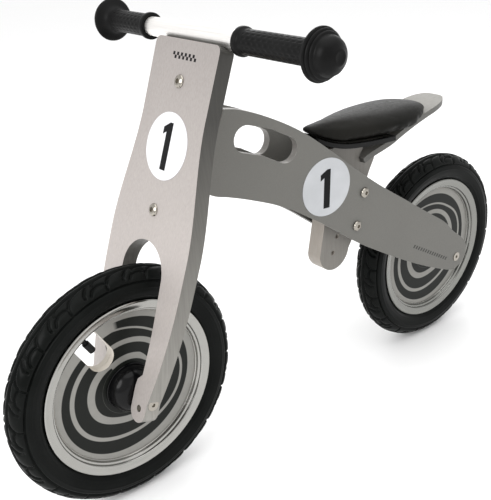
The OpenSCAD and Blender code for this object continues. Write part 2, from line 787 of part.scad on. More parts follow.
// Tube with its valve stem reaching in through the rim
module inner_tube(deg) {
    mid = wheel_r - tyre_sec_r;
    tube_r = tyre_sec_r - tyre_wall - 0.8;
    union() {
        rotate_extrude() translate([mid, 0]) circle(r = tube_r);
        rotate(deg) translate([rim_in - stem_len, 0, 0]) rotate([0, 90, 0])
            cylinder(r = stem_r, h = mid - tube_r - rim_in + stem_len + 4);
    }
}

module valve_cap(deg) {
    rotate(deg) translate([rim_in - stem_len - 3.2, 0, 0]) rotate([0, 90, 0]) difference() {
        cylinder(r = cap_r, h = 14);
        translate([0, 0, 3]) cylinder(r = stem_r + run_play, h = 20);
    }
}

module rim(deg) {
    well = 8;
    seat = wheel_r - tyre_sec_r - (tyre_sec_r - tyre_wall) - 1.5;
    difference() {
        rotate_extrude() polygon([[rim_in, -disc_t], [rim_in + lip_slope, -lip_half],
            [rim_r - 4, -lip_half - 0.8], [rim_r - 3.2, -rim_half], [rim_r, -rim_half], [rim_r, -well - 1],
            [seat, -well], [seat, well], [rim_r, well + 1], [rim_r, rim_half], [rim_r - 3.2, rim_half],
            [rim_r - 4, lip_half + 0.8], [rim_in + lip_slope, lip_half], [rim_in, disc_t]]);
        rotate(deg) rotate([0, 90, 0]) cylinder(r = stem_r + 0.4, h = wheel_r);
    }
}

// One half of the wheel disc; z0 is its inner face
module disc_half(deg, z0) {
    translate([0, 0, z0]) difference() {
        cylinder(r = rim_in - seat_play / 2, h = disc_t - 0.02);
        translate([0, 0, -1]) cylinder(r = hub_r + seat_play, h = disc_t + 2);
        rotate(deg) translate([cut_c, 0, -1]) {
            cylinder(r = valve_gap_w / 2, h = disc_t + 2);
            translate([0, -valve_gap_w / 2, 0]) cube([rim_in, valve_gap_w, disc_t + 2]);
        }
    }
}

module hub() {
    difference() {
        translate([0, 0, -barrel_half]) cylinder(r = hub_r, h = 2 * barrel_half);
        translate([0, 0, -barrel_half - 1]) cylinder(r = bush_out + run_play, h = 2 * barrel_half + 2);
    }
}

module hub_bushes() {
    for (s = [0, 1]) mirror([0, 0, s]) difference() {
        union() {
            translate([0, 0, 2]) cylinder(r = bush_out, h = disc_t - 2);
            translate([0, 0, disc_t + 0.05]) cylinder(r = bush_out + 3, h = 1.45);
            translate([0, 0, disc_t - 1]) cylinder(r = bush_out, h = 1.2);
        }
        translate([0, 0, -1]) cylinder(r = axle_r + run_play, h = disc_t + 5);
    }
}

function dome_point(w, h, r0, a) = [r0 + w * pow(cos(a), 0.8), h * pow(sin(a), 0.9)];

// Black cover over the bush, open round the axle spacer
module hub_dome(h) {
    n = 10;
    inner = 8;
    outer = [for (i = [0:n]) dome_point(dome_r - inner, h, inner, 90 * i / n)];
    shell = [for (i = [n:-1:0]) dome_point(dome_r - 3 - inner, h - 2.2, inner, 90 * i / n)];
    rotate_extrude() polygon(concat(outer, shell));
}

module front_tyre() { color(black) at_wheel(axle_f) tyre(); }
module front_inner_tube() { color(black) at_wheel(axle_f) inner_tube(valve_front_deg); }
module front_valve_cap() { color(black) at_wheel(axle_f) valve_cap(valve_front_deg); }
module front_rim() { color(steel) at_wheel(axle_f) rim(valve_front_deg); }
module front_disc_left() { color(silver) at_wheel(axle_f) disc_half(valve_front_deg, 0.02); }
module front_disc_right() {
    color(silver) at_wheel(axle_f) mirror([0, 0, 1]) disc_half(valve_front_deg, 0.02);
}
module front_hub() { color(black) at_wheel(axle_f) hub(); }
module front_hub_bushes() { color(label_white) at_wheel(axle_f) hub_bushes(); }
module front_hub_dome_left() { color(black) at_wheel(axle_f) translate([0, 0, disc_t]) hub_dome(dome_h); }
module front_hub_dome_right() {
    color(black) at_wheel(axle_f) mirror([0, 0, 1]) translate([0, 0, disc_t]) hub_dome(dome_h);
}
module rear_tyre() { color(black) at_wheel(axle_b) tyre(); }
module rear_inner_tube() { color(black) at_wheel(axle_b) inner_tube(valve_rear_deg); }
module rear_valve_cap() { color(black) at_wheel(axle_b) valve_cap(valve_rear_deg); }
module rear_rim() { color(steel) at_wheel(axle_b) rim(valve_rear_deg); }
module rear_disc_left() { color(silver) at_wheel(axle_b) disc_half(valve_rear_deg, 0.02); }
module rear_disc_right() {
    color(silver) at_wheel(axle_b) mirror([0, 0, 1]) disc_half(valve_rear_deg, 0.02);
}
module rear_hub() { color(black) at_wheel(axle_b) hub(); }
module rear_hub_bushes() { color(label_white) at_wheel(axle_b) hub_bushes(); }
module rear_hub_dome_left() { color(black) at_wheel(axle_b) translate([0, 0, disc_t]) hub_dome(dome_h); }
module rear_hub_dome_right() {
    color(black) at_wheel(axle_b) mirror([0, 0, 1]) translate([0, 0, disc_t]) hub_dome(dome_h);
}

frame_plate_left();
frame_plate_right();
head_block();
head_bush_upper();
head_bush_lower();
head_dowels();
seat_post();
post_bolts();
post_cap_nuts();
post_spacers();
tail_board();
tail_screws();
seat_base();
seat_base_screws();
seat_pad();
rear_axle();
rear_axle_screws();
rear_axle_spacers();
side_disc_left();
side_disc_right();
fork_plate();
handlebar();
handlebar_screws();
grip_left();
grip_right();
steering_lug_upper();
steering_lug_lower();
steering_rod();
rod_nuts();
steering_washers();
fork_bolts();
front_axle();
front_axle_screws();
front_axle_spacers();
leg_screws();
front_number_disc();
front_tyre();
front_inner_tube();
front_valve_cap();
front_rim();
front_disc_left();
front_disc_right();
front_hub();
front_hub_bushes();
front_hub_dome_left();
front_hub_dome_right();
rear_tyre();
rear_inner_tube();
rear_valve_cap();
rear_rim();
rear_disc_left();
rear_disc_right();
rear_hub();
rear_hub_bushes();
rear_hub_dome_left();
rear_hub_dome_right();
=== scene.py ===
import math
import bmesh
import bpy
import numpy as np
from mathutils import Matrix, Vector


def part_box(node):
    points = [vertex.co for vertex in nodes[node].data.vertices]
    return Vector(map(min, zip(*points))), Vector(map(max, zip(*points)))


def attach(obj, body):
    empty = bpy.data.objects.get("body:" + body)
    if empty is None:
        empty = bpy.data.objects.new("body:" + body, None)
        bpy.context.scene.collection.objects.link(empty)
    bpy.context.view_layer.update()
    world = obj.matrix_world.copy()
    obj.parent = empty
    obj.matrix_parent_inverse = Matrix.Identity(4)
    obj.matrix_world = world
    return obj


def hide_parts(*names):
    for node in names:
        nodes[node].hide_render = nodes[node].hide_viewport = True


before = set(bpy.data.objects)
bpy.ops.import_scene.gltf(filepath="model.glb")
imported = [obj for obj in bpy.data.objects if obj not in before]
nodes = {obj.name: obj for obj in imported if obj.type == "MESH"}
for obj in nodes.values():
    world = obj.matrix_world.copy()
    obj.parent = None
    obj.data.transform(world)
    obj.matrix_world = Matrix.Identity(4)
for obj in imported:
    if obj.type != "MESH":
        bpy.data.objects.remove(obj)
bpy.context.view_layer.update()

mm = 0.001

# How far the frame plates lean towards each other at the head, and the fork back from upright
plateLean = math.radians(5.3724)
forkTilt = math.radians(19.6)
forkNormal = Vector((math.cos(forkTilt), 0, -math.sin(forkTilt)))
forkUp = Vector((math.sin(forkTilt), 0, math.cos(forkTilt)))
# Axle centres as (x, z), and the angle from the front round to the valve, in degrees
wheelCentre = {"front": (-0.28, 0.15), "rear": (0.28, 0.15)}
valveAngle = {"front": 120.6, "rear": 149.0}
# Camera angles in degrees and its place in metres
cameraLook = {"azimuth": -38.318, "elevation": 24.903, "roll": -2.7025, "lens": 55.25,
              "place": (-0.638, -0.696, 0.674)}
# Each lamp: x, y, z, size in metres, power in watts
lightSet = {"worldStrength": 1.0, "worldColor": (1.0, 1.0, 1.0), "aim": (0, 0, 0.25),
            "top": (0.1, -0.2, 2.3, 2.6, 22), "front": (-2.2, -0.3, 1.5, 1.6, 34),
            "side": (0.3, -2.4, 0.9, 1.8, 3), "back": (1.6, 1.6, 1.3, 1.4, 8)}
floorLook = {"size": 30.0, "color": (0.95, 0.95, 0.95)}


def makeCamera():
    azimuth, rise, roll = (math.radians(cameraLook[k]) for k in ("azimuth", "elevation", "roll"))
    level = Vector((math.sin(azimuth), -math.cos(azimuth), 0)) * math.cos(rise)
    back = level + Vector((0, 0, math.sin(rise)))
    right = Vector((math.cos(azimuth), math.sin(azimuth), 0))
    up = back.cross(right)
    rolledRight = math.cos(roll) * right + math.sin(roll) * up
    rolledUp = math.cos(roll) * up - math.sin(roll) * right
    cam = bpy.data.cameras.new("camera")
    cam.lens = cameraLook["lens"]
    cam.clip_start = 0.01
    obj = bpy.data.objects.new("camera", cam)
    bpy.context.scene.collection.objects.link(obj)
    turn = Matrix((rolledRight, rolledUp, back)).transposed().to_4x4()
    obj.matrix_world = Matrix.Translation(cameraLook["place"]) @ turn
    bpy.context.scene.camera = obj
    bpy.context.scene.view_settings.view_transform = "Standard"


def makeLights():
    world = bpy.data.worlds.new("studio")
    world.use_nodes = True
    background = world.node_tree.nodes["Background"]
    background.inputs["Color"].default_value = (*lightSet["worldColor"], 1)
    background.inputs["Strength"].default_value = lightSet["worldStrength"]
    bpy.context.scene.world = world
    for name in ("top", "front", "side", "back"):
        x, y, z, size, power = lightSet[name]
        lamp = bpy.data.lights.new(name, "AREA")
        lamp.shape, lamp.size, lamp.energy = "DISK", size, power
        obj = bpy.data.objects.new(name, lamp)
        bpy.context.scene.collection.objects.link(obj)
        obj.location = (x, y, z)
        aim = Vector(lightSet["aim"]) - obj.location
        obj.rotation_euler = aim.to_track_quat("-Z", "Y").to_euler()


makeCamera()
makeLights()
print("camera and lights are set")


def newMaterial(name, color, roughness, metallic=0.0, coat=0.0, specular=0.5):
    mat = bpy.data.materials.new(name)
    mat.use_nodes = True
    shader = mat.node_tree.nodes["Principled BSDF"]
    shader.inputs["Base Color"].default_value = (*color, 1)
    shader.inputs["Roughness"].default_value = roughness
    shader.inputs["Metallic"].default_value = metallic
    shader.inputs["Coat Weight"].default_value = coat
    shader.inputs["Coat Roughness"].default_value = 0.15
    shader.inputs["Specular IOR Level"].default_value = specular
    mat.diffuse_color = (*color, 1)
    return mat, mat.node_tree, shader


def addNode(tree, kind, values=None, **settings):
    node = tree.nodes.new(kind)
    for key, value in settings.items():
        setattr(node, key, value)
    for key, value in (values or {}).items():
        if isinstance(value, bpy.types.NodeSocket):
            tree.links.new(value, node.inputs[key])
        else:
            node.inputs[key].default_value = value
    return node


def mathNode(tree, operation, a, b=0.0, c=0.0):
    return addNode(tree, "ShaderNodeMath", {0: a, 1: b, 2: c}, operation=operation).outputs[0]


def mixColor(tree, share, a, b):
    node = addNode(tree, "ShaderNodeMix", data_type="RGBA")
    for index, value in ((0, share), (6, a), (7, b)):
        if isinstance(value, bpy.types.NodeSocket):
            tree.links.new(value, node.inputs[index])
        else:
            node.inputs[index].default_value = value if index == 0 else (*value, 1)
    return node.outputs[2]


def placeVector(tree, scale=(1, 1, 1), turn=(0, 0, 0)):
    coords = addNode(tree, "ShaderNodeTexCoord").outputs["Object"]
    return addNode(tree, "ShaderNodeMapping", {"Vector": coords, "Scale": scale, "Rotation": turn}).outputs[0]


def noiseNode(tree, vector, scale, detail=3.0, rough=0.5):
    return addNode(tree, "ShaderNodeTexNoise", {"Vector": vector, "Scale": scale, "Detail": detail,
                                                "Roughness": rough}).outputs[0]


def spread(tree, value, low, high, fromLow=0.35, fromHigh=0.65):
    limits = {0: value, 1: fromLow, 2: fromHigh, 3: low, 4: high}
    return addNode(tree, "ShaderNodeMapRange", limits).outputs[0]


def setBump(tree, shader, height, strength, distance):
    bump = addNode(tree, "ShaderNodeBump", {"Height": height, "Strength": strength, "Distance": distance})
    tree.links.new(bump.outputs[0], shader.inputs["Normal"])


def lacquer(name, light, dark, roughness, metallic, streak, turn=0.0, grain=0.1, rise=None):
    # streaked or flecked lacquer on board; rise is painted light and shade by height: (low z, high z, share
    # of color at each)
    mat, tree, shader = newMaterial(name, light, roughness, metallic, specular=0.3)
    along = placeVector(tree, streak, (0, turn, 0))
    streaks = noiseNode(tree, along, 1.0, 4.0, 0.6)
    clouds = noiseNode(tree, placeVector(tree), 9.0, 2.0)
    share = spread(tree, mathNode(tree, "ADD", mathNode(tree, "MULTIPLY", streaks, 0.75),
                                  mathNode(tree, "MULTIPLY", clouds, 0.25)), 0, 1)
    color = mixColor(tree, share, dark, light)
    # painted light and shade: the colour is scaled up or down with height
    if rise:
        coords = addNode(tree, "ShaderNodeTexCoord").outputs["Object"]
        height = addNode(tree, "ShaderNodeSeparateXYZ", {0: coords}).outputs[2]
        color = mixColor(tree, spread(tree, height, 0, 1, rise[0], rise[1]),
                         paintedShadeScale(tree, color, rise[2]), paintedShadeScale(tree, color, rise[3]))
    tree.links.new(color, shader.inputs["Base Color"])
    tree.links.new(spread(tree, streaks, roughness + 0.07, roughness - 0.05), shader.inputs["Roughness"])
    setBump(tree, shader, streaks, grain, 0.0004)
    return mat


def paintedShadeScale(tree, color, share):
    return addNode(tree, "ShaderNodeVectorMath", {0: color, 1: (share, share, share)},
                   operation="MULTIPLY").outputs[0]


materials = {
    # The fork's face and edge carry painted shade by height: the face is lighter low down and darker near the
    # top, and the edge is far darker towards the top.
    "forkFace": lacquer("forkFace", (0.40, 0.368, 0.35), (0.345, 0.315, 0.30), 0.38, 0.25,
                        (700, 700, 12), -forkTilt, 0.12, (0.30, 0.58, 1.12, 0.70)),
    "forkEdge": lacquer("forkEdge", (0.30, 0.29, 0.265), (0.24, 0.23, 0.21), 0.42, 0.2,
                        (500, 60, 14), -forkTilt, 0.2, (0.10, 0.46, 1.05, 0.18)),
    "frameFace": lacquer("frameFace", (0.140, 0.137, 0.125), (0.122, 0.119, 0.109), 0.40, 0.1,
                         (900, 900, 900), 0.0, 0.05),
    "frameEdge": lacquer("frameEdge", (0.26, 0.25, 0.235), (0.21, 0.20, 0.19), 0.38, 0.2,
                         (300, 700, 300), 0.0, 0.1),
    "postFace": lacquer("postFace", (0.20, 0.19, 0.172), (0.17, 0.16, 0.145), 0.42, 0.1,
                        (500, 500, 20), 0.0, 0.12),
    "postEdge": lacquer("postEdge", (0.37, 0.335, 0.30), (0.32, 0.29, 0.255), 0.45, 0.05,
                        (300, 900, 20), 0.0, 0.15),
    "tailFace": lacquer("tailFace", (0.225, 0.218, 0.20), (0.20, 0.193, 0.178), 0.42, 0.08,
                        (20, 700, 700), 0.0, 0.1),
    "tailEdge": lacquer("tailEdge", (0.13, 0.128, 0.12), (0.11, 0.108, 0.10), 0.45, 0.05,
                        (20, 500, 500), 0.0, 0.1),
    "beech": lacquer("beech", (0.52, 0.37, 0.21), (0.42, 0.29, 0.16), 0.55, 0.0, (60, 60, 8), 0.0, 0.15),
}


def metal(name, color, roughness, streak=(40, 900, 40), strength=0.06):
    mat, tree, shader = newMaterial(name, color, roughness, 1.0)
    lines = noiseNode(tree, placeVector(tree, streak), 1.0, 3.0)
    tree.links.new(spread(tree, lines, roughness - 0.05, roughness + 0.08), shader.inputs["Roughness"])
    darker = tuple(c * 0.88 for c in color)
    tree.links.new(mixColor(tree, lines, darker, color), shader.inputs["Base Color"])
    setBump(tree, shader, lines, strength, 0.0003)
    return mat


materials["bar"] = metal("bar", (0.93, 0.91, 0.885), 0.44, (900, 14, 900))
materials["steel"] = metal("steel", (0.36, 0.335, 0.295), 0.14, (200, 200, 200), 0.03)
materials["frontRim"] = metal("frontRim", (0.36, 0.355, 0.335), 0.17, (60, 60, 60), 0.02)
# the rear rim is the same metal as the front rim; its darker colour is painted shade
materials["rearRim"] = metal("rearRim", (0.235, 0.235, 0.22), 0.20, (60, 60, 60), 0.02)


def rubber(name, color, roughness, grainScale, strength, coat=0.0, shine=0.5):
    mat, tree, shader = newMaterial(name, color, roughness, 0.0, coat, shine)
    fine = noiseNode(tree, placeVector(tree), grainScale, 4.0, 0.6)
    dusty = noiseNode(tree, placeVector(tree), 26.0, 3.0)
    lighter = tuple(min(1, c * 1.12 + 0.002) for c in color)
    tree.links.new(mixColor(tree, spread(tree, dusty, 0, 1), color, lighter), shader.inputs["Base Color"])
    tree.links.new(spread(tree, dusty, roughness - 0.06, roughness + 0.08), shader.inputs["Roughness"])
    setBump(tree, shader, fine, strength, 0.0003)
    return mat


materials["tyre"] = rubber("tyre", (0.0028, 0.0034, 0.0030), 0.34, 900, 0.16, 0.0, 0.06)
materials["grip"] = rubber("grip", (0.0045, 0.0045, 0.0045), 0.40, 1500, 0.2, 0.0, 0.08)
materials["plastic"] = rubber("plastic", (0.008, 0.008, 0.008), 0.38, 700, 0.08, 0.0, 0.15)
materials["dome"] = rubber("dome", (0.0015, 0.0015, 0.0018), 0.18, 500, 0.02, 0.20, 0.06)
materials["cream"] = rubber("cream", (0.50, 0.46, 0.40), 0.42, 500, 0.06)
materials["white"] = rubber("white", (0.70, 0.69, 0.66), 0.45, 500, 0.05)
materials["ink"] = rubber("ink", (0.004, 0.004, 0.0045), 0.45, 900, 0.04, 0.0, 0.1)
materials["discWhite"] = rubber("discWhite", (0.62, 0.62, 0.64), 0.40, 700, 0.03, 0.0, 0.2)
# the side discs are the same white film as the fork's disc; their darker colour is painted shade
materials["discWhitePaintedShade"] = rubber("discWhitePaintedShade", (0.43, 0.44, 0.455), 0.40, 700, 0.03, 0.0, 0.2)
materials["stripe"] = rubber("stripe", (0.045, 0.044, 0.041), 0.45, 900, 0.04, 0.0, 0.15)


def leatherMaterial():
    mat, tree, shader = newMaterial("vinyl", (0.009, 0.009, 0.008), 0.36, specular=0.06)
    cells = addNode(tree, "ShaderNodeTexVoronoi", {"Vector": placeVector(tree), "Scale": 620.0},
                    feature="DISTANCE_TO_EDGE").outputs[0]
    pores = noiseNode(tree, placeVector(tree), 260.0, 3.0)
    worn = noiseNode(tree, placeVector(tree), 14.0, 2.0)
    tree.links.new(mixColor(tree, spread(tree, worn, 0, 1), (0.0075, 0.0075, 0.0065), (0.012, 0.0115, 0.010)),
                   shader.inputs["Base Color"])
    height = mathNode(tree, "ADD", mathNode(tree, "MULTIPLY", spread(tree, cells, 0, 1, 0.0, 0.12), 0.6),
                      mathNode(tree, "MULTIPLY", pores, 0.4))
    tree.links.new(spread(tree, pores, 0.34, 0.44), shader.inputs["Roughness"])
    setBump(tree, shader, height, 0.16, 0.0004)
    return mat


materials["vinyl"] = leatherMaterial()


# Black swirls printed on a silver disc. Three silver arms run once round, each a little wider
# out at its end. Each arm: radius in mm at shares of the turn from the valve on, width at start and end
ringArms = {"first": (((0, 39), (0.2, 46), (0.38, 40), (0.67, 52), (1, 59)), 10.5, 6.0),
            "second": (((0, 63.5), (0.21, 72.5), (0.42, 64), (0.66, 73), (0.76, 69.5), (0.93, 79)), 6.5, 2.0),
            "outer": (((0, 80), (0.26, 90), (0.5, 83.5), (0.76, 87), (1, 92)), 60.0, 60.0)}
ringShades = {"black": (0.0065, 0.0075, 0.0062), "light": (0.275, 0.27, 0.25), "dark": (0.235, 0.23, 0.215)}


def ringMaterial(name, centre, startAngle):
    mat, tree, shader = newMaterial(name, ringShades["light"], 0.34, 0.2, specular=0.15)
    coords = addNode(tree, "ShaderNodeTexCoord").outputs["Object"]
    parts = addNode(tree, "ShaderNodeSeparateXYZ", {0: coords})
    x = mathNode(tree, "SUBTRACT", parts.outputs[0], centre[0])
    z = mathNode(tree, "SUBTRACT", parts.outputs[2], centre[1])
    square = mathNode(tree, "ADD", mathNode(tree, "MULTIPLY", x, x), mathNode(tree, "MULTIPLY", z, z))
    radius = mathNode(tree, "MULTIPLY", 1000.0, mathNode(tree, "SQRT", square))
    turns = mathNode(tree, "MULTIPLY", mathNode(tree, "ARCTAN2", z, x), 0.5 / math.pi)
    share = mathNode(tree, "FRACT", mathNode(tree, "ADD", turns, 1 - startAngle / 360))

    def band(low, width):
        past = mathNode(tree, "SUBTRACT", radius, low)
        rising = spread(tree, past, 0, 1, -0.25, 0.25)
        falling = spread(tree, mathNode(tree, "SUBTRACT", width, past), 0, 1, -0.25, 0.25)
        return mathNode(tree, "MULTIPLY", rising, falling)

    # the short inner arm fades in just before the valve, the outermost black stops short of it
    silver = band(35.5, spread(tree, share, 0.0, 8.0, 0.72, 0.84))
    short = spread(tree, share, 0, 1, 0.925, 0.935)
    silver = mathNode(tree, "MAXIMUM", silver, mathNode(tree, "MULTIPLY", short, band(80.0, 60.0)))
    for path, wideStart, wideEnd in ringArms.values():
        curve = addNode(tree, "ShaderNodeFloatCurve", {1: share})
        points = curve.mapping.curves[0].points
        while len(points) < len(path):
            points.new(0.5, 0.5)
        for point, (turn, edge) in zip(points, path):
            point.location = (turn, edge / 100)
        curve.mapping.update()
        low = mathNode(tree, "MULTIPLY", curve.outputs[0], 100.0)
        silver = mathNode(tree, "MAXIMUM", silver, band(low, spread(tree, share, wideStart, wideEnd, 0, 1)))
    brushed = noiseNode(tree, placeVector(tree, (120, 120, 120)), 1.0, 3.0)
    printed = mixColor(tree, brushed, ringShades["dark"], ringShades["light"])
    tree.links.new(mixColor(tree, silver, ringShades["black"], printed), shader.inputs["Base Color"])
    tree.links.new(spread(tree, silver, 0.0, 0.25, 0, 1), shader.inputs["Metallic"])
    tree.links.new(spread(tree, silver, 0.42, 0.34, 0, 1), shader.inputs["Roughness"])
    setBump(tree, shader, brushed, 0.05, 0.0003)
    return mat


for end in ("front", "rear"):
    materials[end + "Rings"] = ringMaterial(end + "Rings", wheelCentre[end], valveAngle[end])
print("materials are made")


def makeFloor():
    bpy.ops.mesh.primitive_grid_add(x_subdivisions=2, y_subdivisions=2, size=floorLook["size"])
    floor = bpy.context.object
    floor.name = "floor"
    mat, tree, shader = newMaterial("floor", floorLook["color"], 0.6)
    clouds = noiseNode(tree, placeVector(tree), 3.0)
    tree.links.new(spread(tree, clouds, 0.55, 0.65), shader.inputs["Roughness"])
    floor.data.materials.append(mat)


makeFloor()


def finishPiece(obj, body, replaced=(), smoothAngle=35.0):
    obj.data.shade_smooth()
    obj.data.set_sharp_from_angle(angle=math.radians(smoothAngle))
    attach(obj, body)
    if replaced:
        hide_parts(*replaced)
    return obj


def meshObject(name, mesh):
    obj = bpy.data.objects.new(name, mesh)
    bpy.context.scene.collection.objects.link(obj)
    return obj


def bmeshObject(name, bm, mats):
    bmesh.ops.recalc_face_normals(bm, faces=bm.faces)
    mesh = bpy.data.meshes.new(name)
    bm.to_mesh(mesh)
    bm.free()
    for mat in mats:
        mesh.materials.append(mat)
    return meshObject(name, mesh)


def gridObject(name, points, mat, wrapRows=False):
    rows, cols, _ = points.shape
    i = np.arange(rows if wrapRows else rows - 1)[:, None]
    j = np.arange(cols)[None, :]
    following = (j + 1) % cols
    below = (i + 1) % rows
    faces = np.stack([i * cols + j, i * cols + following, below * cols + following, below * cols + j], -1)
    mesh = bpy.data.meshes.new(name)
    mesh.from_pydata(points.reshape(-1, 3).tolist(), [], faces.reshape(-1, 4).tolist())
    bm = bmesh.new()
    bm.from_mesh(mesh)
    bmesh.ops.remove_doubles(bm, verts=bm.verts, dist=1e-7)
    bmesh.ops.recalc_face_normals(bm, faces=bm.faces)
    bm.to_mesh(mesh)
    bm.free()
    mesh.materials.append(mat)
    return meshObject(name, mesh)


def turnedObject(name, profile, centre, mat, count=160, wrapRows=False):
    # profile is (along y, radius) in mm, turned about the Y line through centre (x, z)
    angles = np.linspace(0, 2 * math.pi, count, endpoint=False)
    profile = np.array(profile, float) * mm
    points = np.zeros((len(profile), count, 3))
    points[:, :, 0] = centre[0] + profile[:, 1:2] * np.cos(angles)
    points[:, :, 1] = profile[:, 0:1]
    points[:, :, 2] = centre[1] + profile[:, 1:2] * np.sin(angles)
    return gridObject(name, points, mat, wrapRows)


def boardPiece(node, body, across, faceMat, edgeMat, bevel, limit=0.8, segments=3):
    # a CAD board with its edges rounded over, faces and edges finished differently
    bm = bmesh.new()
    bm.from_mesh(nodes[node].data)
    bmesh.ops.remove_doubles(bm, verts=bm.verts, dist=2e-6)
    bmesh.ops.dissolve_limit(bm, angle_limit=math.radians(0.6), verts=bm.verts, edges=bm.edges)
    sharp = [e for e in bm.edges if len(e.link_faces) == 2 and e.calc_face_angle(0) > math.radians(48)]
    bmesh.ops.bevel(bm, geom=sharp, offset=bevel * mm, segments=segments, profile=0.5,
                    affect="EDGES", clamp_overlap=True)
    bm.normal_update()
    axis = Vector(across).normalized()
    for face in bm.faces:
        face.material_index = 0 if abs(face.normal.dot(axis)) > limit else 1
    obj = bmeshObject(node + "_finished", bm, (materials[faceMat], materials[edgeMat]))
    finishPiece(obj, body, (node,))
    even = obj.modifiers.new("even", "WEIGHTED_NORMAL")
    even.keep_sharp = True
    return obj


def flatPiece(name, outline, place, right, up, thick, mat, body):
    # a thin flat shape; outline in mm on the right and up directions
    right, up = Vector(right).normalized(), Vector(up).normalized()
    out = right.cross(up)
    bm = bmesh.new()
    base = [bm.verts.new(Vector(place) + (right * x + up * y) * mm) for x, y in outline]
    face = bm.faces.new(base)
    grown = bmesh.ops.extrude_face_region(bm, geom=[face])
    for v in grown["geom"]:
        if isinstance(v, bmesh.types.BMVert):
            v.co += out * thick * mm
    obj = bmeshObject(name, bm, (mat,))
    return finishPiece(obj, body)


def paint(node, matName):
    mesh = nodes[node].data
    mesh.materials.clear()
    mesh.materials.append(materials[matName])


# Edge rounding in mm, the tail's face direction and how squarely its face must look that way
boardLook = {"forkBevel": 1.8, "frameBevel": 1.3, "postBevel": 1.2, "tailBevel": 1.6, "hiddenBevel": 1.0,
             "tailFacing": (-0.3, 0, 0.954), "tailLimit": 0.9}
boardPiece("fork_plate", "fork", forkNormal, "forkFace", "forkEdge",
           boardLook["forkBevel"])
for side, lean in (("left", -1), ("right", 1)):
    across = (math.sin(plateLean), -lean * math.cos(plateLean), 0)
    boardPiece("frame_plate_" + side, "frame", across, "frameFace", "frameEdge",
               boardLook["frameBevel"])
boardPiece("seat_post", "frame", (0, 1, 0), "postFace", "postEdge", boardLook["postBevel"])
boardPiece("tail_board", "frame", boardLook["tailFacing"], "tailFace", "tailEdge",
           boardLook["tailBevel"], boardLook["tailLimit"])
boardPiece("head_block", "frame", (0, 1, 0), "beech", "beech", boardLook["hiddenBevel"])
boardPiece("seat_base", "frame", (0, 0, 1), "plastic", "plastic", boardLook["hiddenBevel"])
print("boards are rounded")


# Tyre section: its radius, the radius of its middle line, its inner wall and where its bead ends
tyreLook = {"section": 22.0, "middle": 128.0, "outer": 150.0, "wall": 4.0, "beadDrop": 15.5,
            "treadStep": 0.72, "treadEnd": 26.5, "sideRows": 26, "wallRows": 12, "sink": 0.75}
treadLook = {"blocks": 18, "perBlock": 60, "depth": 2.4, "halfWidth": 1.45, "shoulder": 25.5,
             "crown": 0.6, "crownReach": 4.5}
# Grooves of one block, in mm: along the tread, out from the middle
treadGrooves = (
    ((-4, 4.2), (5, 6.2), (11, 10), (15, 15), (16.5, 20.5), (16.2, 25.5)),
    ((15, 15), (20, 12.5), (27, 12.0), (34, 14.5), (38, 19.5)),
    ((26, 4.2), (30, 7.0), (31, 10.0)),
    ((37, 6.0), (41, 9.5), (45, 14.5), (45.5, 18.5)),
    ((0, 4.2), (13, 3.2), (26, 4.2), (39, 3.2), (52.4, 4.2)),
)


def grooveDistance(u, v, pitch):
    nearest = np.full(u.shape, 1e3)
    for line in treadGrooves:
        for (x0, y0), (x1, y1) in zip(line[:-1], line[1:]):
            for shift in (-pitch, 0, pitch):
                dx, dy = x1 - x0, y1 - y0
                t = np.clip(((u - x0 - shift) * dx + (v - y0) * dy) / (dx * dx + dy * dy), 0, 1)
                away = np.hypot(u - x0 - shift - t * dx, v - y0 - t * dy)
                nearest = np.minimum(nearest, away)
    return nearest


def tyreGrid(centre):
    section, middle, outer = (tyreLook[k] for k in ("section", "middle", "outer"))
    pitch = 2 * math.pi * outer / treadLook["blocks"]
    count = treadLook["blocks"] * treadLook["perBlock"]
    end = math.acos(-tyreLook["beadDrop"] / section)
    treadRows = np.arange(0, tyreLook["treadEnd"], tyreLook["treadStep"])
    sideRows = np.linspace(tyreLook["treadEnd"] + 0.7, section * end, tyreLook["sideRows"])
    half = np.concatenate([treadRows, sideRows]) / section
    phi = np.concatenate([-half[:0:-1], half])
    theta = np.linspace(0, 2 * math.pi, count, endpoint=False)
    along = theta * outer
    v = section * np.abs(phi)[:, None] + 0 * along[None, :]
    shift = np.where(phi < 0, pitch / 2, 0)[:, None]
    u = np.mod(along[None, :] + shift, pitch)
    away = grooveDistance(u, v, pitch)
    shoulder = np.abs(v - treadLook["shoulder"])
    away = np.minimum(away, shoulder * 0.9)
    cut = np.exp(-((away / treadLook["halfWidth"]) ** 3)) * treadLook["depth"]
    cut *= np.clip((27.5 - v) / 1.5, 0, 1)
    # two fine moulded rings on the side wall
    lip = 0.55 * np.exp(-((v - 33.0) / 0.7) ** 2) + 0.5 * np.exp(-((v - 44.5) / 0.8) ** 2)
    # the tread stands a little proud of the side wall, and each block is crowned
    raised = 0.5 * np.clip((27.0 - v) / 2.0, 0, 1)
    crown = treadLook["crown"] * (1 - np.exp(-(away / treadLook["crownReach"]) ** 2))
    raised = raised + crown * (v < treadLook["shoulder"])
    radius = section - tyreLook["sink"] - cut + lip + raised
    inner = np.linspace(end, -end, tyreLook["wallRows"])
    allPhi = np.concatenate([phi, inner])
    allRadius = np.concatenate([radius, np.full((tyreLook["wallRows"], count), section - tyreLook["wall"])])
    points = np.zeros((len(allPhi), count, 3))
    reach = middle + allRadius * np.cos(allPhi)[:, None]
    points[:, :, 0] = centre[0] + reach * mm * np.cos(theta)
    points[:, :, 1] = allRadius * mm * np.sin(allPhi)[:, None]
    points[:, :, 2] = centre[1] + reach * mm * np.sin(theta)
    return points


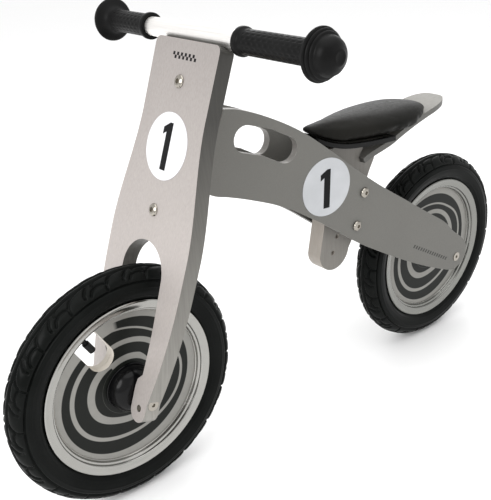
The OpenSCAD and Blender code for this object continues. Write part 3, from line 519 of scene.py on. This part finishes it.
# Half of the rim's turned section from the flange in to the disc, then its well under the tyre:
# (out from the middle, radius) in mm
rimProfile = ((17.2, 112.5), (17.9, 111.6), (17.9, 110.6), (17.3, 109.6), (16.7, 105.2), (16.5, 103.4),
              (16.2, 102.2), (15.5, 101.4), (14.5, 101.0), (13.6, 100.9), (12.9, 100.5), (12.6, 99.6),
              (12.5, 98.9), (12.0, 98.4), (11.2, 98.1), (10.2, 97.9), (9.2, 97.6), (8.5, 97.1), (8.2, 96.6))
rimWell = ((9.0, 112.4), (8.0, 108.6), (-8.0, 108.6), (-9.0, 112.4))
# The dome's foot starts on the disc; the flange goes to 30.6, the cap from 29.6 in to 8.2
domeLook = {"high": 22.9, "steps": 14, "foot": 8.0, "rise": 9.8, "tip": 8.2, "spread": 21.4}


def domeProfile():
    foot, rise, high = domeLook["foot"], domeLook["rise"], domeLook["high"]
    profile = [(foot, 29.8), (8.4, 30.6), (9.2, 30.6), (rise, 29.6)]
    for k in range(1, domeLook["steps"] + 1):
        t = math.radians(90 * k / domeLook["steps"])
        profile.append((rise + (high - 1.8) * math.sin(t) ** 0.9,
                        domeLook["tip"] + domeLook["spread"] * math.cos(t) ** 0.8))
    return profile + [(high + 6.0, foot), (foot, foot)]


def makeWheel(label):
    body, centre = label + "_wheel", wheelCentre[label]
    tyre = gridObject(label + "_tyre_treaded", tyreGrid(centre), materials["tyre"], True)
    finishPiece(tyre, body, (label + "_tyre",), 60)
    farHalf = [(-y, r) for y, r in reversed(rimProfile)]
    profile = [*rimProfile, *farHalf, *reversed(rimWell)]
    rim = turnedObject(label + "_rim_turned", profile, centre, materials[label + "Rim"], 240, True)
    finishPiece(rim, body, (label + "_rim",), 50)
    for side, s in (("left", -1), ("right", 1)):
        boardPiece(label + "_disc_" + side, body, (0, 1, 0), label + "Rings", "cream", 0.7)
        dome = label + "_hub_dome_" + side
        turned = turnedObject(dome + "_turned", [(s * y, r) for y, r in domeProfile()], centre,
                              materials["dome"], 128, True)
        finishPiece(turned, body, (dome,), 50)
    for node, mat in (("_hub", "plastic"), ("_hub_bushes", "white"), ("_inner_tube", "grip"),
                      ("_valve_cap", "plastic")):
        paint(label + node, mat)


makeWheel("front")
makeWheel("rear")
print("wheels are made")


# The grip's own sizes in mm; past is how far the dome stands out beyond the flange
gripLook = {"count": 120, "radius": 13.3, "past": 27,
            "dimpleDepth": 0.55, "dimplePitch": 8.4, "dimpleRows": 18}
# Flange and domed end: (past the flange, radius) in mm
gripEnd = ((-13, 13.3), (-9, 13.9), (-6, 15.2), (-3.5, 18.2), (-1.8, 22.2), (-0.4, 25.0), (0.5, 25.9),
           (1.8, 26.0), (2.7, 25.6), (3.2, 24.4), (3.6, 23.5), (4.2, 23.6), (4.7, 24.4), (5.8, 24.3),
           (6.5, 23.5), (6.8, 22.2), (7.2, 21.5), (7.8, 21.7), (8.3, 22.3), (9.3, 22.0), (10.0, 21.0),
           (10.3, 19.8), (10.8, 19.2), (12.5, 19.1), (15.0, 18.6), (18.0, 17.2), (20.5, 15.0),
           (22.6, 12.2), (24.2, 9.4), (25.2, 8.2), (25.8, 7.2), (26.0, 6.0), (25.7, 5.0), (25.4, 0.0))


def makeGrip(side, sign):
    low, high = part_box("grip_" + side)
    inner = min(abs(low.y), abs(high.y)) / mm
    flange = max(abs(low.y), abs(high.y)) / mm - gripLook["past"]
    x, z = barCentre
    length = flange - inner
    start = [(length + 12, 0.0), (length + 12, 11.1), (0, 11.1), (0, 14.4), (0.4, 15.2), (1.2, 15.6),
             (5.2, 15.6), (6.2, 15.2), (6.9, 14.3), (7.8, 13.7), (9.0, gripLook["radius"])]
    body = [(s, gripLook["radius"]) for s in np.arange(9.6, length - 13.2, 0.7)]
    rows = start + body + [(length + s, r) for s, r in gripEnd]
    angles = np.linspace(0, 2 * math.pi, gripLook["count"], endpoint=False)
    table = np.array(rows)
    s, r = table[:, 0:1], np.repeat(table[:, 1:2], len(angles), 1)
    # rows of small hollow dashes, each row shifted by half a dash
    row = angles[None, :] / (2 * math.pi) * gripLook["dimpleRows"]
    rowIndex = np.floor(row)
    sideways = (row - rowIndex - 0.5) * 2 * math.pi * gripLook["radius"] / gripLook["dimpleRows"]
    pitch = gripLook["dimplePitch"]
    lengthways = np.mod(s + np.where(rowIndex % 2, 0.5, 0) * pitch, pitch) - pitch / 2
    hollow = np.exp(-(sideways / 0.95) ** 4 - (lengthways / 2.5) ** 4) * gripLook["dimpleDepth"]
    ridge = (s > 13) & (s < length - 15) & (r > 12)
    r = r - hollow * ridge
    points = np.zeros((len(rows), len(angles), 3))
    points[:, :, 0] = x + r * mm * np.cos(angles)
    points[:, :, 1] = sign * (inner + s) * mm
    points[:, :, 2] = z + r * mm * np.sin(angles)
    grip = gridObject("grip_" + side + "_moulded", points, materials["grip"])
    finishPiece(grip, "fork", ("grip_" + side,), 50)


barLow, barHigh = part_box("handlebar")
barCentre = ((barLow.x + barHigh.x) / 2, (barLow.z + barHigh.z) / 2)
makeGrip("left", -1)
makeGrip("right", 1)
paint("handlebar", "bar")
print("grips are made")


# Outline of the numeral in mm, from its foot up
numberOne = ((-5.2, 0), (5.2, 0), (5.2, 53.6), (-0.5, 53.6), (-11.3, 47.2), (-11.3, 38.8), (-5.2, 42.6))
labelLook = {"thick": 0.12, "forkNumber": 1.0, "forkShift": 0.8, "forkMiddle": 26.8, "forkFace": -10.12,
             "frameNumber": 0.98, "frameShift": 0.5, "frameMiddle": 29, "frameOut": 0.32,
             "tilt": math.radians(2)}
checkLook = {"size": 3.6, "count": 12, "rise": 382.5, "front": -9.62, "back": -9.45}
# The dashes' places are from the rear axle, in mm
dashLook = {"front": (-96.0, 43.0), "rear": (-24.0, 1.0), "slope": math.radians(-30), "count": 15,
            "wide": 2.6, "high": 5.2, "lean": 1, "pitch": 5.7, "out": 0.04, "thick": 0.1,
            "plateSide": 0.06}
frontAxle = Vector((wheelCentre["front"][0], 0, wheelCentre["front"][1]))


def forkPoint(x, y, z):
    # a point of the fork's own frame, in mm
    return frontAxle + (forkNormal * x + Vector((0, 1, 0)) * y + forkUp * z) * mm


def addSlab(bm, frontCorners, backCorners):
    front = [bm.verts.new(corner) for corner in frontCorners]
    back = [bm.verts.new(corner) for corner in backCorners]
    bm.faces.new(front)
    bm.faces.new(back[::-1])
    for a in range(4):
        b = (a + 1) % 4
        bm.faces.new((front[a], back[a], back[b], front[b]))


def makeForkNumeral():
    low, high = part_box("front_number_disc")
    rise = ((low + high) / 2 - frontAxle).dot(forkUp) / mm
    grow = labelLook["forkNumber"]
    outline = [(x * grow + labelLook["forkShift"], (y - labelLook["forkMiddle"]) * grow)
               for x, y in numberOne]
    flatPiece("fork_numeral", outline, forkPoint(labelLook["forkFace"], 0, rise), (0, -1, 0), forkUp,
              labelLook["thick"], materials["ink"], "fork")


def makeFrameNumeral(side, right, out):
    low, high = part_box("side_disc_" + side)
    centre = (low + high) / 2 + out * labelLook["frameOut"] * mm
    grow = labelLook["frameNumber"]
    c, s = math.cos(labelLook["tilt"]), math.sin(labelLook["tilt"])
    scaled = [((x + labelLook["frameShift"]) * grow, (y - labelLook["frameMiddle"]) * grow)
              for x, y in numberOne]
    turned = [(x * c + y * s, y * c - x * s) for x, y in scaled]
    flatPiece("frame_numeral_" + side, turned, centre, right, (0, 0, 1), labelLook["thick"],
              materials["ink"], "frame")


def makeDashes(side, sign, right, out):
    # a sloping row of small dashes in front of the axle end
    fall = Vector((0, 0, -sign * math.sin(dashLook["slope"])))
    slope = (right * math.cos(dashLook["slope"]) + fall).normalized()
    up = out.cross(slope)
    along, rise = dashLook["front"] if sign < 0 else dashLook["rear"]
    rearX, rearZ = wheelCentre["rear"]
    place = Vector((rearX, sign * dashLook["plateSide"], rearZ))
    place += (out * dashLook["out"] - right * sign * along) * mm
    place.z += rise * mm
    wide, high, lean, thick = (dashLook[k] for k in ("wide", "high", "lean", "thick"))
    bm = bmesh.new()
    for k in range(dashLook["count"]):
        low = k * dashLook["pitch"]
        corners = ((low, 0), (low + wide, 0), (low + wide + lean, high), (low + lean, high))
        addSlab(bm, [place + (slope * a + up * b + out * thick) * mm for a, b in corners],
                [place + (slope * a + up * b) * mm for a, b in corners])
    dashes = bmeshObject("frame_dashes_" + side, bm, (materials["stripe"],))
    finishPiece(dashes, "frame")


def makeChecks():
    # two rows of small squares under the handlebar
    bm = bmesh.new()
    size, count = checkLook["size"], checkLook["count"]
    for k in range(count):
        for row in range(2):
            if (k + row) % 2:
                continue
            low = (k - count / 2) * size
            corners = [(low, row * size), (low + size, row * size), (low + size, (row + 1) * size),
                       (low, (row + 1) * size)]
            addSlab(bm, [forkPoint(checkLook["front"], y, checkLook["rise"] + z) for y, z in corners],
                    [forkPoint(checkLook["back"], y, checkLook["rise"] + z) for y, z in corners])
    checks = bmeshObject("fork_checks", bm, (materials["ink"],))
    finishPiece(checks, "fork")


makeForkNumeral()
for side, sign in (("left", -1), ("right", 1)):
    right = Vector((-sign * math.cos(plateLean), -math.sin(plateLean), 0))
    out = right.cross(Vector((0, 0, 1)))
    makeFrameNumeral(side, right, out)
    makeDashes(side, sign, right, out)
makeChecks()
paint("front_number_disc", "discWhite")
# the side discs take the white film's darker copy, which is painted shade
for side in ("left", "right"):
    paint("side_disc_" + side, "discWhitePaintedShade")

steelNodes = ("post_bolts", "post_cap_nuts", "tail_screws", "seat_base_screws", "rear_axle",
              "rear_axle_screws", "rear_axle_spacers", "handlebar_screws", "steering_rod", "rod_nuts",
              "steering_washers", "fork_bolts", "front_axle", "front_axle_screws", "front_axle_spacers",
              "leg_screws")
for node in steelNodes:
    paint(node, "steel")
for node in ("head_bush_upper", "head_bush_lower", "post_spacers", "steering_lug_upper",
             "steering_lug_lower"):
    paint(node, "plastic")
paint("head_dowels", "beech")
print("labels and metal are done")


# Lengths in metres, apart from pleatDeep in mm
seatLook = {"voxel": 0.0042, "shrink": 0.002, "pressure": 3.5, "frames": 18, "mostMove": 0.005,
            "flatBand": 0.004, "floorGap": 0.0003, "fill": 0.8, "pleats": 22, "pleatDeep": 5.0}


def swell(pad):
    # the filling presses the cover outwards
    cloth = pad.modifiers.new("cloth", "CLOTH")
    settings = cloth.settings
    settings.use_pressure = True
    settings.uniform_pressure_force = seatLook["pressure"]
    settings.effector_weights.gravity = 0
    settings.quality = 6
    cloth.point_cache.frame_start, cloth.point_cache.frame_end = 1, seatLook["frames"]
    for k in range(1, seatLook["frames"] + 1):
        bpy.context.scene.frame_set(k)
    applyModifiers(pad)
    bpy.context.scene.frame_set(1)


def makeSeat():
    bm = bmesh.new()
    bm.from_mesh(nodes["seat_pad"].data)
    bmesh.ops.remove_doubles(bm, verts=bm.verts, dist=2e-6)
    bmesh.ops.recalc_face_normals(bm, faces=bm.faces)
    bm.normal_update()
    for v in bm.verts:
        v.co -= v.normal * seatLook["shrink"]
    pad = bmeshObject("seat_cushion", bm, (materials["vinyl"],))
    remesh = pad.modifiers.new("remesh", "REMESH")
    remesh.mode, remesh.voxel_size = "VOXEL", seatLook["voxel"]
    smooth = pad.modifiers.new("smooth", "SMOOTH")
    smooth.factor, smooth.iterations = 0.5, 10
    applyModifiers(pad)
    rest = np.array([v.co for v in pad.data.vertices])
    swell(pad)
    moved = np.array([v.co for v in pad.data.vertices])
    step = moved - rest
    size = np.linalg.norm(step, axis=1, keepdims=True)
    step *= np.minimum(1, seatLook["mostMove"] / np.maximum(size, 1e-9))
    lowSide = rest[:, 2] < padFloor(rest[:, 0]) + seatLook["flatBand"]
    step[lowSide, 2] = 0
    made = rest + step
    low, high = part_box("seat_pad")
    made[:, 2] = np.maximum(made[:, 2], padFloor(made[:, 0]) + seatLook["floorGap"])
    made[:, 0] = np.clip(made[:, 0], low.x, high.x)
    for v, co in zip(pad.data.vertices, made):
        v.co = co
    sub = pad.modifiers.new("fine", "SUBSURF")
    sub.levels = sub.render_levels = 1
    applyModifiers(pad)
    finishPiece(pad, "frame", ("seat_pad",), 80)


def applyModifiers(obj):
    graph = bpy.context.evaluated_depsgraph_get()
    mesh = bpy.data.meshes.new_from_object(obj.evaluated_get(graph))
    obj.modifiers.clear()
    obj.data = mesh


def padStations(column, pick):
    # one measure of the CAD pad at each of its stations along x
    co = np.array([v.co for v in nodes["seat_pad"].data.vertices])
    stations = np.unique(co[:, 0].round(5))
    return stations, np.array([pick(co[np.abs(co[:, 0] - x) < 2e-5, column]) for x in stations])


padUnder = padStations(2, np.min)


def padFloor(x):
    return np.interp(x, *padUnder)


# How far in from the pad's outline and how deep each line of the gathered edge lies
pleatSection = ((0.0, 0.0), (-0.001, 0.5), (-0.004, 1.0), (-0.008, 0.9), (-0.012, 0.2), (-0.012, 0.0))
pleatLook = {"steps": 150, "frontInset": 0.006, "reach": 0.112, "edge": 0.004, "lift": 0.0025,
             "fadeIn": 0.03, "fadeOut": 0.02, "least": 0.0012, "sway": 0.0015}


def makePleats():
    # the cover's gathered edge, tucked under the front half of the pad
    xs, widths = padStations(1, lambda y: np.abs(y).max())
    path = np.linspace(xs[1] + pleatLook["frontInset"], xs[0] + pleatLook["reach"], pleatLook["steps"])
    wave = 0.5 + 0.5 * np.sin(np.linspace(0, 2 * math.pi * seatLook["pleats"], len(path)))
    half = np.interp(path, xs, widths) - pleatLook["edge"]
    top = padFloor(path) + pleatLook["lift"]
    fade = np.clip((path - path[0]) / pleatLook["fadeIn"], 0, 1)
    fade = fade * np.clip((path[-1] - path) / pleatLook["fadeOut"], 0, 1)
    deep = pleatLook["least"] + wave * seatLook["pleatDeep"] * mm * fade
    for side, sign in (("left", -1), ("right", 1)):
        ring = [np.stack([path, sign * (half + out - pleatLook["sway"] * wave), top - deep * down], -1)
                for out, down in pleatSection]
        bm = bmesh.new()
        grid = [[bm.verts.new(point) for point in line] for line in ring]
        for a, line in enumerate(grid):
            following = grid[(a + 1) % len(grid)]
            for k in range(len(path) - 1):
                bm.faces.new((line[k], line[k + 1], following[k + 1], following[k]))
        for k in (0, len(path) - 1):
            bm.faces.new([line[k] for line in grid])
        pleats = bmeshObject("seat_pleats_" + side, bm, (materials["vinyl"],))
        finishPiece(pleats, "frame", (), 60)


makeSeat()
makePleats()
print("seat is made")
